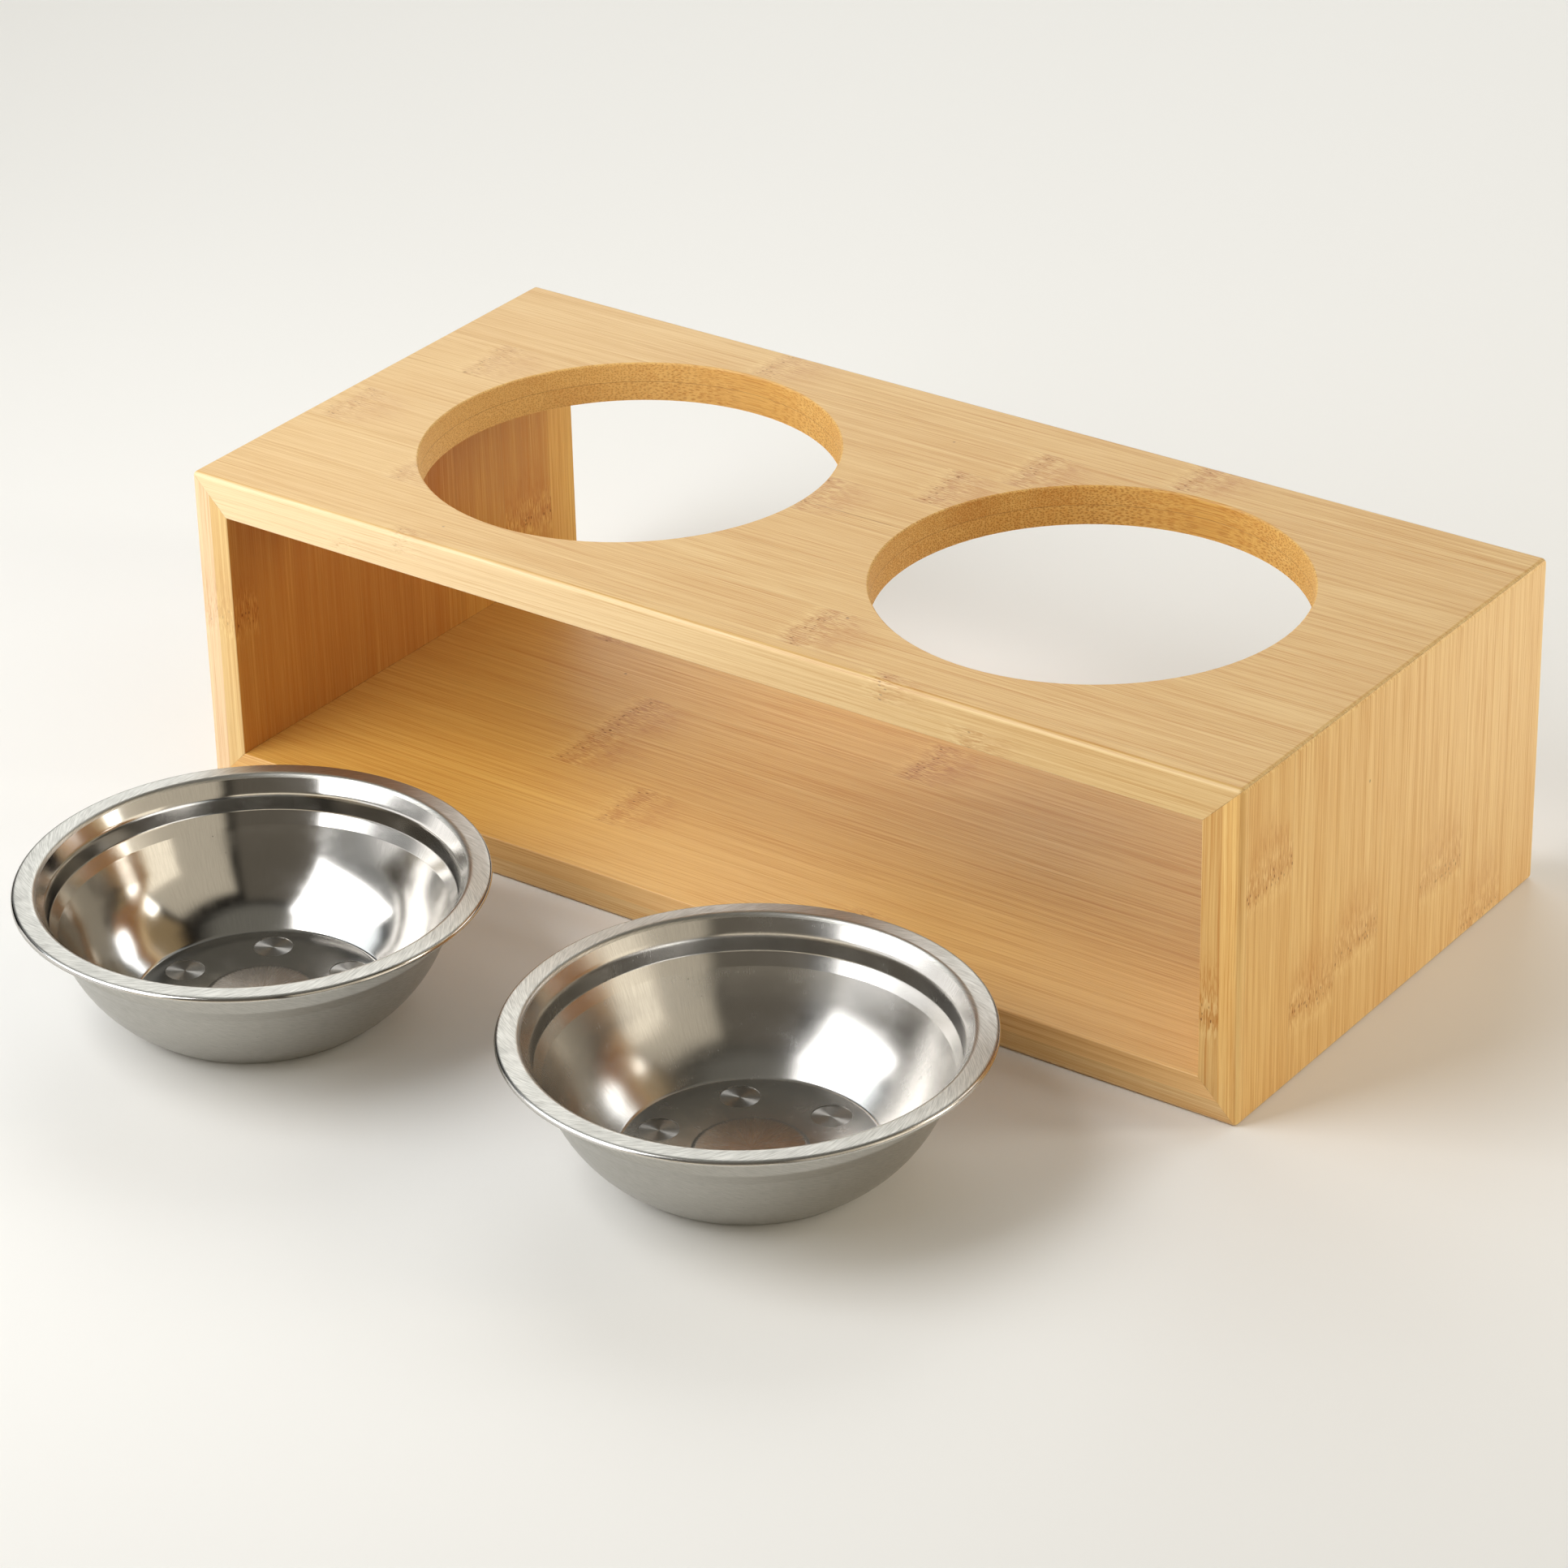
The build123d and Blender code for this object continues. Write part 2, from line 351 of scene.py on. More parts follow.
    # Knuckle: flame of dashes, brown band, pale swirls, dark dots
    colour = blend(tree, sum_up(tree, "MULTIPLY", given["Knuckle Flame"], 0.85), colour,
                   (*FLAME_BROWN, 1))
    rag = sum_up(tree, "ADD", 0.16, sum_up(tree, "MULTIPLY", thread, 0.45))
    colour = blend(tree, sum_up(tree, "MULTIPLY", given["Knuckle Band"], rag, clamp=True), colour,
                   (*BAND_BROWN, 1))
    colour = blend(tree, sum_up(tree, "MULTIPLY", given["Knuckle Flecks"], 0.52), colour,
                   given["Light Fibre"])
    colour = blend(tree, sum_up(tree, "MULTIPLY", given["Knuckle Dots"], 0.85), colour,
                   (*DOT_BROWN, 1))
    # Across the fibres and in the bowl holes: dotted with open pores
    end = fade(tree, given["Facing"], 0.08, 0.45)
    cut = blend(tree, end, (1, 1, 1, 1), (*ACROSS_TINT, 1))
    colour = blend(tree, 1.0, colour, cut, "MULTIPLY")
    opened = sum_up(tree, "MAXIMUM", end, sum_up(tree, "MULTIPLY", given["Bored"], 0.5))
    open_ends = sum_up(tree, "MULTIPLY", opened,
                       fade(tree, given["Bored"], 0.0, 1.0, 0.12, 0.55))
    pores = sum_up(tree, "MULTIPLY", heart, open_ends)
    colour = blend(tree, pores, colour, (*PORE_BROWN, 1))
    # Glued edges between strips, and small dark flaws
    edge = fade(tree, given["Edge"], 0.05, 0.20, 0.22, 0.0)
    colour = blend(tree, edge, colour, (*GLUE_BROWN, 1))
    colour = blend(tree, flaw, colour, (*FLAW_BROWN, 1))
    # Sanding pales all but the fibres, and the same pale mix is painted light on some plies; the
    # stain,
    # # with painted light at the back of the left inner ply, and the seams between boards lie on top
    pales = inverse(tree, sum_up(tree, "MULTIPLY", line, 0.45))
    colour = blend(tree, sum_up(tree, "MULTIPLY", given["Bleached"], pales), colour,
                   (*SANDED_AND_PAINTED_LIGHT_PALE, 1))
    colour = blend(tree, 1.0, colour, given["Stain"], "MULTIPLY")
    colour = blend(tree, given["Seam"], colour, (*SEAM_BROWN, 1))
    put(tree, out.inputs["Color"], colour)
    rough = sum_up(tree, "ADD", 0.36, sum_up(tree, "MULTIPLY", line, 0.16))
    rough = sum_up(tree, "ADD", rough, sum_up(tree, "MULTIPLY", end, 0.2))
    rough = sum_up(tree, "ADD", rough, sum_up(tree, "MULTIPLY", given["Knuckle Dots"], 0.25))
    put(tree, out.inputs["Roughness"], rough)
    relief = sum_up(tree, "MULTIPLY", line, -0.34)
    relief = sum_up(tree, "SUBTRACT", relief,
                    sum_up(tree, "MULTIPLY", heart, sum_up(tree, "MULTIPLY", open_ends, 1.8)))
    relief = sum_up(tree, "SUBTRACT", relief,
                    sum_up(tree, "MULTIPLY", given["Knuckle Dots"], 0.6))
    relief = sum_up(tree, "SUBTRACT", relief, flaw)
    relief = sum_up(tree, "SUBTRACT", relief, given["Seam"])
    put(tree, out.inputs["Height"], relief)
    return tree


def seam_group():
    """Hair lines where boards meet on a mitre and where the two plies of a board are glued."""
    tree, given, out = new_group(
        "Glue seams",
        [("Position", "Vector", (0, 0, 0)), ("Half Length", "Float", 0.175),
         ("Height", "Float", 0.1), ("Ply", "Float", 0.006), ("Bored", "Float", 0.0)],
        [("Seam", "Float")])
    x, _, z = split(tree, given["Position"])
    end = sum_up(tree, "SUBTRACT", given["Half Length"], sum_up(tree, "ABSOLUTE", x))
    over = sum_up(tree, "SUBTRACT", given["Height"], z)
    low = sum_up(tree, "MINIMUM", z, over)
    mitre = sum_up(tree, "ABSOLUTE", sum_up(tree, "SUBTRACT", end, low))
    fleck = cloud(tree, vector_sum(tree, "MULTIPLY", given["Position"], (260, 340, 260)), 3.0, 0.7)
    width = sum_up(tree, "MULTIPLY", fade(tree, fleck, 0.44, 0.62), 0.10 * MM)
    width = sum_up(tree, "ADD", width, 0.03 * MM)
    line = sum_up(tree, "SUBTRACT", 1.0, sum_up(tree, "DIVIDE", mitre, width), clamp=True)
    line = sum_up(tree, "MULTIPLY", sum_up(tree, "POWER", line, 0.6), 0.70)
    into = sum_up(tree, "MINIMUM", end, low)
    glue = sum_up(tree, "ABSOLUTE", sum_up(tree, "SUBTRACT", into, given["Ply"]))
    glue = fade(tree, glue, 0.03 * MM, 0.14 * MM, 1.0, 0.0)
    shown = sum_up(tree, "ADD", 0.10, sum_up(tree, "MULTIPLY", given["Bored"], 0.42))
    glue = sum_up(tree, "MULTIPLY", glue, shown)
    put(tree, out.inputs["Seam"], sum_up(tree, "MAXIMUM", line, glue))
    return tree


# Each ply: its first strip's front edge in millimetres, its pores' size, and its strips from
# there back. A strip has its tint from 0, pale, to 1, honey, and the places of up to two
# knuckles along it in millimetres; NONE is no knuckle
NONE = 480
STRIP = 22.9
PLIES = {
    "top_outer_ply": (-98.3, 0.62, [
        (0.35, -99, 64), (0.42, 30, NONE), (0.25, -124, NONE), (0.42, -167, NONE),
        (0.35, -18, NONE), (0.38, -152, 11), (0.52, 26, -250), (0.30, -77, 68)]),
    "top_inner_ply": (-86.0, 0.75, [
        (0.45, -120, 92), (0.55, 40, NONE), (0.35, -60, 150), (0.5, 118, NONE),
        (0.4, -20, NONE), (0.6, -140, 70), (0.45, 22, NONE), (0.5, -90, 130)]),
    "right_outer_ply": (-100.1, 0.8, [
        (0.55, NONE, NONE), (0.62, 67, NONE), (0.5, 20.5, NONE), (0.45, 27, NONE),
        (0.5, NONE, NONE), (0.42, 26.5, NONE), (0.35, 3.5, NONE), (0.32, NONE, NONE)]),
    "right_inner_ply": (-90.0, 1.0, [
        (0.5, 30, NONE), (0.55, NONE, NONE), (0.4, 71, NONE), (0.6, NONE, NONE),
        (0.45, 18, NONE), (0.5, NONE, NONE), (0.6, 84, NONE), (0.4, 44, NONE)]),
    "left_outer_ply": (-95.0, 0.8, [
        (0.3, 54, NONE), (0.4, NONE, NONE), (0.5, 74, NONE), (0.45, 12, NONE),
        (0.35, NONE, NONE), (0.55, 40, NONE), (0.4, 91, NONE), (0.5, 22, NONE)]),
    "left_inner_ply": (-92.3, 0.9, [
        (0.62, 54, NONE), (0.7, NONE, NONE), (0.6, NONE, NONE), (0.7, NONE, NONE),
        (0.6, 80, NONE), (0.65, NONE, NONE), (0.85, 32, NONE), (0.0, NONE, NONE)]),
    "base_inner_ply": (-78.5, 0.6, [
        (0.5, 41, NONE), (0.42, -51, NONE), (0.5, -83, 160), (0.46, -83, NONE),
        (0.5, 6, NONE), (0.44, -120, 96), (0.5, 44, NONE), (0.45, -30, NONE)]),
    "base_outer_ply": (-92.0, 0.8, [
        (0.4, -140, 82), (0.5, 12, NONE), (0.35, -60, 148), (0.5, 100, NONE),
        (0.45, -110, 60), (0.4, 20, NONE), (0.5, -34, 130), (0.45, -150, 76)]),
}

# Plies that are deeper or paler than the rest on their faces, and on their sanded edges
STAINS = {
    "top_outer_ply": (0.87, 0.82, 0.59),
    "top_inner_ply": (0.97, 0.94, 0.77),
    "left_inner_ply": (0.88, 0.63, 0.28),
    "base_inner_ply": (0.95, 0.82, 0.42),
    "right_outer_ply": (1.13, 1.10, 0.89),
    "right_inner_ply": (1.0, 0.90, 0.70),
}
EDGE_STAINS = {
    "top_outer_ply": (0.95, 0.97, 0.86),
    "top_inner_ply": (0.95, 0.97, 0.86),
    "left_inner_ply": (0.94, 0.92, 0.66),
    "base_inner_ply": (1.0, 0.90, 0.70),
    "right_inner_ply": (0.97, 0.91, 0.74),
}
# Painted light: the back of the left inner ply is painted paler, as light falling in through the
# left bowl hole
BACK_OF_LEFT_PAINTED_LIGHT = (1.05, 0.92, 0.44)
BORE_STAIN = (0.91, 0.80, 0.47)

# How far a normal leans from a ply's face before the ply counts as edge there
EDGE_STARTS, EDGE_FULL = 0.25, 0.75


def paling_and_painted_light_share(tree, name, front, x, y, z):
    """How much paler a ply is painted, partly from sanding and partly as painted light: on the front
    edge and left end of the top and left boards, sanding and painted light of the near key softbox;
    towards the back and top of the right side, a painted sheen of the lit floor with painted shade
    lower down;
    towards the front of the base's inner ply, painted light where the top board doesn't shade it."""
    # Top: paler on its front edge and towards its left end, partly sanding and partly painted light
    # of the near key softbox
    if name.startswith("top"):
        edge = sum_up(tree, "MULTIPLY", front, fade(tree, x, 0.16, -0.17, 0.28, 1.0))
        face = sum_up(tree, "MULTIPLY", inverse(tree, front),
                      fade(tree, x, 0.03, -0.15, 0.0, 0.34))
        return sum_up(tree, "ADD", edge, face)
    # Left boards: front edge paler, partly sanding and partly painted light of the near key softbox
    if name.startswith("left"):
        return sum_up(tree, "MULTIPLY", front, 0.55)
    # Right side: painted paler towards its back and top, a painted sheen of the lit floor, with
    # painted shade lower down
    if name == "right_outer_ply":
        return sum_up(tree, "MULTIPLY", fade(tree, y, -0.085, 0.08, 0.0, 0.52),
                      fade(tree, z, 0.0, 0.075, 0.6, 1.0))
    # Base's inner ply: painted light, paler towards the front where the top board doesn't shade it
    if name == "base_inner_ply":
        return sum_up(tree, "MULTIPLY", fade(tree, y, -0.01, -0.075, 0.0, 0.30),
                      fade(tree, x, -0.10, -0.01))
    return 0.0


def stain_and_painted_light_of(tree, name, sanded, bored, y):
    """A ply's stain: its face's, its sanded edges', and its bowl holes', and painted light, paler
    towards the back of the left inner ply.
    """
    stain_and_light = (*STAINS.get(name, (1.0, 1.0, 1.0)), 1)
    if name == "left_inner_ply":
        # Painted light, paler towards the back of the left inner ply
        stain_and_light = blend(tree, fade(tree, y, 0.0, 0.05), stain_and_light, (*BACK_OF_LEFT_PAINTED_LIGHT, 1))
    if name in EDGE_STAINS:
        stain_and_light = blend(tree, sanded, stain_and_light, (*EDGE_STAINS[name], 1))
    if name.startswith("top"):
        stain_and_light = blend(tree, bored, stain_and_light, (*BORE_STAIN, 1))
    return stain_and_light


def hair_crack(tree, x, y):
    """A fine crack along the top between the two bowl holes."""
    wander = cloud(tree, join(tree, sum_up(tree, "MULTIPLY", x, 60.0), 0.0, 0.0))
    wander = sum_up(tree, "MULTIPLY", sum_up(tree, "SUBTRACT", wander, 0.5), 0.8 * MM)
    away = sum_up(tree, "ADD", sum_up(tree, "ADD", y, 1.0 * MM), wander)
    away = sum_up(tree, "ABSOLUTE", away)
    return sum_up(tree, "MULTIPLY", fade(tree, away, 0.03 * MM, 0.14 * MM, 0.8, 0.0),
                  fade(tree, sum_up(tree, "ABSOLUTE", x), 10 * MM, 18.5 * MM, 1.0, 0.0))


def bamboo(name, ply, groups):
    """A ply's own bamboo: its strips, tints and knuckles, and its grain along the ply."""
    first_edge, pore, strips = ply
    upright = name.startswith(("left", "right"))
    material, tree, shader = new_material(name.replace("_ply", "_bamboo"))
    coords = add(tree, "ShaderNodeTexCoord").outputs
    x, y, z = split(tree, coords["Object"])
    point = join(tree, z, y, x) if upright else join(tree, x, y, z)
    strip = use(tree, groups["strips"], Point=point, Strip_Width=STRIP, First_Edge=first_edge,
                Strips=float(len(strips)))
    table = add(tree, "ShaderNodeValToRGB", {"Fac": strip["Place in Table"]})
    ramp = table.color_ramp
    ramp.interpolation = "CONSTANT"
    for count, (tint, first, second) in enumerate(strips):
        stop = ramp.elements[0] if count == 0 else ramp.elements.new(count / len(strips))
        stop.position = count / len(strips)
        stop.color = (first / 1000 + 0.5, second / 1000 + 0.5, tint, 1)
    ramp.elements.remove(ramp.elements[-1])
    column = add(tree, "ShaderNodeSeparateColor", {0: table.outputs[0]}).outputs
    places = [sum_up(tree, "MULTIPLY", sum_up(tree, "SUBTRACT", column[c], 0.5), 1000.0)
              for c in (0, 1)]
    scaled = split(tree, vector_sum(tree, "MULTIPLY", point, (1000, 1000, 1000)))
    salted = sum_up(tree, "ADD", strip["Strip"], float(17 * list(PLIES).index(name)))
    knuckle = use(tree, groups["knuckle"], Along=scaled[0], Across=scaled[1], Through=scaled[2],
                  Strip=salted, Middle=strip["Middle"], First=places[0], Second=places[1])
    nx, ny, nz = split(tree, coords["Normal"])
    front = sanded = fade(tree, ny, -EDGE_STARTS, -EDGE_FULL)
    bored = 0.0
    if name.startswith("top"):
        side = sum_up(tree, "SUBTRACT", sum_up(tree, "ABSOLUTE", x), HOLE_X)
        around = vector_sum(tree, "LENGTH", join(tree, side, y, 0.0))
        bored = fade(tree, around, HOLE_RADIUS + 0.3 * MM, HOLE_RADIUS + 0.7 * MM, 1.0, 0.0)
        front = sum_up(tree, "MULTIPLY", front, inverse(tree, bored))
        ends = fade(tree, sum_up(tree, "ABSOLUTE", nx), EDGE_STARTS, EDGE_FULL)
        ends = sum_up(tree, "MULTIPLY", ends, inverse(tree, bored))
        sanded = sum_up(tree, "MAXIMUM", front, ends)
    seam = use(tree, groups["seams"], Position=coords["Object"], Bored=bored)["Seam"]
    if name == "top_outer_ply":
        seam = sum_up(tree, "MAXIMUM", seam, hair_crack(tree, x, y))
    grain = use(tree, groups["grain"], Point=point,
                Facing=sum_up(tree, "ABSOLUTE", nz if upright else nx), Strip=salted,
                Edge=strip["Edge"], Tint=column[2], Knuckle_Band=knuckle["Band"],
                Knuckle_Flame=knuckle["Flame"], Knuckle_Dots=knuckle["Dots"],
                Knuckle_Flecks=knuckle["Flecks"], Streak_Width=0.75 if upright else 0.5,
                Core=0.34 if upright else 0.28, Pore_Size=pore, Seam=seam,
                Bleached=paling_and_painted_light_share(tree, name, front, x, y, z), Bored=bored,
                Stain=stain_and_painted_light_of(tree, name, sanded, bored, y), Pale=(*PALE, 1),
                Honey=(*DEEP_HONEY.get(name, HONEY), 1), Fibre=(*FIBRE, 1))
    put(tree, shader.inputs["Base Color"], grain["Color"])
    put(tree, shader.inputs["Roughness"], grain["Roughness"])
    relief = add(tree, "ShaderNodeBump", {"Height": grain["Height"], "Strength": 0.7,
                                          "Distance": 0.06 * MM})
    put(tree, shader.inputs["Normal"], relief.outputs[0])
    shader.inputs["Specular IOR Level"].default_value = 0.42
    return material


def finish_boards():
    """Every ply and tongue gets its bamboo."""
    groups = {"strips": strip_group(), "knuckle": knuckle_group(), "grain": bamboo_group(),
              "seams": seam_group()}
    for name, ply in PLIES.items():
        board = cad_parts[name]
        board.data.materials.clear()
        board.data.materials.append(bamboo(name, ply, groups))
    tongue_wood, tree, shader = new_material("tongue_wood")
    place = add(tree, "ShaderNodeTexCoord").outputs["Object"]
    streaks = cloud(tree, vector_sum(tree, "MULTIPLY", place, (900, 60, 900)), 3.0, 0.6)
    put(tree, shader.inputs["Base Color"],
        blend(tree, streaks, (0.70, 0.50, 0.27, 1), (0.52, 0.32, 0.14, 1)))
    put(tree, shader.inputs["Roughness"], fade(tree, streaks, 0.2, 0.8, 0.5, 0.65))
    for name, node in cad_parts.items():
        if name.startswith("tongue_"):
            node.data.materials.clear()
            node.data.materials.append(tongue_wood)


# Steel ---------------------------------------------------------------------------------------

SPECK_GREY = (0.08, 0.075, 0.07)
# Mean radii in millimetres at which an angle is turned into a length of brushing
MEAN_RADIUS, MEAN_SPOT_RADIUS = 50.0, 4.0


def scratch_group():
    """Fine scratches and rubbed streaks along one direction of a turned surface."""
    tree, given, out = new_group(
        "Polishing marks",
        [("Around", "Float", 0.0), ("Outward", "Float", 0.0), ("Stroke Around", "Float", 6.0),
         ("Stroke Outward", "Float", 0.2), ("Slant", "Float", 0.0), ("Depth", "Float", 1.0)],
        [("Streaks", "Float"), ("Haze", "Float"), ("Height", "Float"), ("Specks", "Float")])
    across = sum_up(tree, "ADD", given["Outward"],
                    sum_up(tree, "MULTIPLY", given["Around"], given["Slant"]))
    line = join(tree, sum_up(tree, "DIVIDE", given["Around"], given["Stroke Around"]),
                sum_up(tree, "DIVIDE", across, given["Stroke Outward"]), 0.0)
    streaks = cloud(tree, line, 3.0, 0.65)
    haze = cloud(tree, join(tree, sum_up(tree, "MULTIPLY", given["Around"], 0.07),
                            sum_up(tree, "MULTIPLY", given["Outward"], 0.10), 3.0), 3.0, 0.6)
    cells = add(tree, "ShaderNodeTexVoronoi", {
        "Vector": join(tree, sum_up(tree, "MULTIPLY", given["Around"], 0.35),
                       sum_up(tree, "MULTIPLY", given["Outward"], 0.35), 9.0), "Scale": 1.0})
    pick = split(tree, cells.outputs["Color"])[0]
    speck = fade(tree, cells.outputs["Distance"], 0.03, 0.09, 1.0, 0.0)
    put(tree, out.inputs["Streaks"], streaks)
    put(tree, out.inputs["Haze"], haze)
    put(tree, out.inputs["Height"], sum_up(tree, "MULTIPLY", streaks, given["Depth"]))
    put(tree, out.inputs["Specks"],
        sum_up(tree, "MULTIPLY", speck, sum_up(tree, "GREATER_THAN", pick, 0.86)))
    return tree


def steel(name, marks, stroke, rough, colour, anisotropy=0.0, tangent=None, depth=1.0,
          spot=False, wear=0.06):
    """Stainless steel with its own brushing. Its stroke is a scratch's length around and its
    length outward, both in millimetres, and its slant. Wear darkens the scratches."""
    material, tree, shader = new_material(name)
    place = add(tree, "ShaderNodeAttribute", attribute_name="from_spot" if spot else "from_axis")
    place = place.outputs["Vector"]
    x, y, z = split(tree, place)
    radius = sum_up(tree, "MULTIPLY",
                    vector_sum(tree, "LENGTH", join(tree, x, y, 0.0)), 1000.0)
    angle = sum_up(tree, "ARCTAN2", y, x)
    outward = radius if spot else sum_up(tree, "ADD", radius, sum_up(tree, "MULTIPLY", z, 1000.0))
    around = sum_up(tree, "MULTIPLY", angle, MEAN_SPOT_RADIUS if spot else MEAN_RADIUS)
    marks = use(tree, marks, Around=around, Outward=outward, Stroke_Around=stroke[0],
                Stroke_Outward=stroke[1], Slant=stroke[2], Depth=depth)
    low, high = rough
    base = blend(tree, fade(tree, marks["Streaks"], 0.40, 0.62), (*colour, 1),
                 (*(c * (1 - wear) for c in colour), 1))
    base = blend(tree, sum_up(tree, "MULTIPLY", marks["Specks"], 0.7), base,
                 (*SPECK_GREY, 1))
    put(tree, shader.inputs["Base Color"], base)
    put(tree, shader.inputs["Roughness"],
        sum_up(tree, "ADD", fade(tree, marks["Streaks"], 0.25, 0.8, low, high),
               sum_up(tree, "MULTIPLY", fade(tree, marks["Haze"], 0.4, 0.75), 0.05)))
    put(tree, shader.inputs["Metallic"], 1.0)
    shader.inputs["Anisotropic"].default_value = anisotropy
    if tangent:
        grooves = vector_sum(tree, "CROSS_PRODUCT", (0, 0, 1), place)
        if tangent == "outward":
            grooves = vector_sum(tree, "CROSS_PRODUCT", grooves,
                                 add(tree, "ShaderNodeNewGeometry").outputs["Normal"])
        put(tree, shader.inputs["Tangent"], vector_sum(tree, "NORMALIZE", grooves))
    relief = add(tree, "ShaderNodeBump", {"Height": marks["Height"], "Strength": 0.35,
                                          "Distance": 0.006 * MM})
    put(tree, shader.inputs["Normal"], relief.outputs[0])
    return material


def rounded_line(corners, bends, steps=7, hold=0.35):
    """A line with its corners rounded, and a point held just off each bend to keep flats flat."""
    corners = [Vector(c) for c in corners]
    line = []
    for before, corner, after, bend in zip(corners, corners[1:], corners[2:], bends):
        back, ahead = (before - corner).normalized(), (after - corner).normalized()
        half = back.angle(ahead) / 2
        reach = bend / tan(half)
        centre = corner + (back + ahead).normalized() * (bend / sin(half))
        start, end = corner + back * reach - centre, corner + ahead * reach - centre
        if (before - corner).length > 2 * reach + 2:
            line.append(corner + back * (reach + hold))
        line += [centre + start.slerp(end, step / steps) * bend for step in range(steps + 1)]
        if (after - corner).length > 2 * reach + 2:
            line.append(corner + ahead * (reach + hold))
    return line + [corners[-1]]


def select_only(piece):
    """One piece selected and active, and nothing else."""
    bpy.ops.object.select_all(action="DESELECT")
    piece.select_set(True)
    bpy.context.view_layer.objects.active = piece


def apply_modifier(piece, kind, **settings):
    """A modifier added and applied."""
    select_only(piece)
    bpy.ops.object.modifier_add(type=kind)
    modifier = piece.modifiers[-1]
    for name, value in settings.items():
        setattr(modifier, name, value)
    bpy.ops.object.modifier_apply(modifier=modifier.name)


def draw_sheet(name, axis_x, axis_y):
    """A bowl's sheet: a disc drawn out ring by ring along the underside, then thickened."""
    line = [point * MM for point in rounded_line(UNDERSIDE, BENDS)]
    radius, height = line[0]
    bpy.ops.object.select_all(action="DESELECT")
    bpy.ops.mesh.primitive_circle_add(vertices=AROUND, radius=radius, fill_type="NOTHING",
                                      location=(axis_x, axis_y, height))
    piece = bpy.context.object
    piece.name = name
    bpy.ops.object.mode_set(mode="EDIT")
    bpy.ops.mesh.select_mode(type="EDGE")
    bpy.ops.mesh.select_all(action="SELECT")
    for next_radius, next_height in line[1:]:
        bpy.ops.mesh.extrude_region_move(
            TRANSFORM_OT_translate={"value": (0, 0, next_height - height)})
        grow = next_radius / radius
        bpy.ops.transform.resize(value=(grow, grow, 1),
                                 center_override=(axis_x, axis_y, next_height))
        radius, height = next_radius, next_height
    # The first ring is closed with one face
    bpy.ops.mesh.select_all(action="DESELECT")
    shape = bmesh.from_edit_mesh(piece.data)
    for edge in shape.edges:
        edge.select_set(all(v.co.xy.length < line[0][0] + 1e-6 for v in edge.verts))
    bmesh.update_edit_mesh(piece.data)
    bpy.ops.mesh.edge_face_add()
    bpy.ops.mesh.select_all(action="SELECT")
    bpy.ops.mesh.normals_make_consistent(inside=False)
    shape = bmesh.from_edit_mesh(piece.data)
    disc = min(shape.faces, key=lambda face: face.calc_center_median().xy.length)
    if disc.normal.z < 0:
        bpy.ops.mesh.flip_normals()
    bpy.ops.object.mode_set(mode="OBJECT")
    select_only(piece)
    bpy.ops.object.transform_apply(location=True, rotation=True, scale=True)
    apply_modifier(piece, "SOLIDIFY", thickness=SHEET, offset=1.0)
    return piece


def press_spots(piece, axis_x, axis_y, turn):
    """The round marks in a bowl's floor, each cut by its own cylinder."""
    for count in range(SPOTS):
        angle = turn + 2 * pi * count / SPOTS
        bpy.ops.object.select_all(action="DESELECT")
        bpy.ops.mesh.primitive_cylinder_add(
            vertices=AROUND_SPOT, radius=SPOT_RADIUS, depth=4 * SPOT_DEPTH,
            location=(axis_x + SPOT_CIRCLE * cos(angle), axis_y + SPOT_CIRCLE * sin(angle),
                      SHEET + SPOT_DEPTH))
        cutter = bpy.context.object
        apply_modifier(piece, "BOOLEAN", operation="DIFFERENCE", object=cutter, solver="EXACT")
        bpy.data.objects.remove(cutter)


def from_nearest_spot(x, y, turn):
    """Where a point at x and y from a bowl's axis is, seen from its nearest round mark."""
    step = 2 * pi / SPOTS
    near = round((atan2(y, x) - turn) / step) * step + turn
    return x - SPOT_CIRCLE * cos(near), y - SPOT_CIRCLE * sin(near)


def finish_of(face, x, y, z, turn):
    """A face's finish, by where it is from its bowl's axis and which way it looks."""
    radius = hypot(x, y)
    outward = Vector((x, y)).normalized()
    inner = face.normal.z > 0.05 or face.normal.xy.dot(outward) < -0.3
    if RIM_INNER < radius < RIM_OUTER and z > RIM_ABOVE:
        return RIM
    if hypot(*from_nearest_spot(x, y, turn)) < SPOT_RADIUS and SPOT_ABOVE < z < SPOT_BELOW:
        return SPOT
    if inner:
        return DISC if radius < DISC_OUTER else POLISHED
    return SATIN


def spun_bowl(node, turn, finishes):
    """One bowl in place of its node, with its finishes face by face."""
    low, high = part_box(node)
    axis_x, axis_y = (low.x + high.x) / 2, (low.y + high.y) / 2
    piece = draw_sheet(f"spun_{node}", axis_x, axis_y)
    press_spots(piece, axis_x, axis_y, turn)
    select_only(piece)
    bpy.ops.object.shade_smooth_by_angle(angle=SMOOTH_UP_TO)
    for finish in finishes:
        piece.data.materials.append(finish)
    # Every point's place from the bowl's axis and from its nearest mark, for the brushing
    from_axis, from_spot = [], []
    for vertex in piece.data.vertices:
        x, y = vertex.co.x - axis_x, vertex.co.y - axis_y
        from_axis += [x, y, vertex.co.z]
        from_spot += [*from_nearest_spot(x, y, turn), 0.0]
    for label, values in (("from_axis", from_axis), ("from_spot", from_spot)):
        kept = piece.data.attributes.new(label, "FLOAT_VECTOR", "POINT")
        kept.data.foreach_set("vector", values)
    for face in piece.data.polygons:
        x, y, z = face.center.x - axis_x, face.center.y - axis_y, face.center.z
        face.material_index = finish_of(face, x, y, z, turn)
    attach(piece, node)
    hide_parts(node)


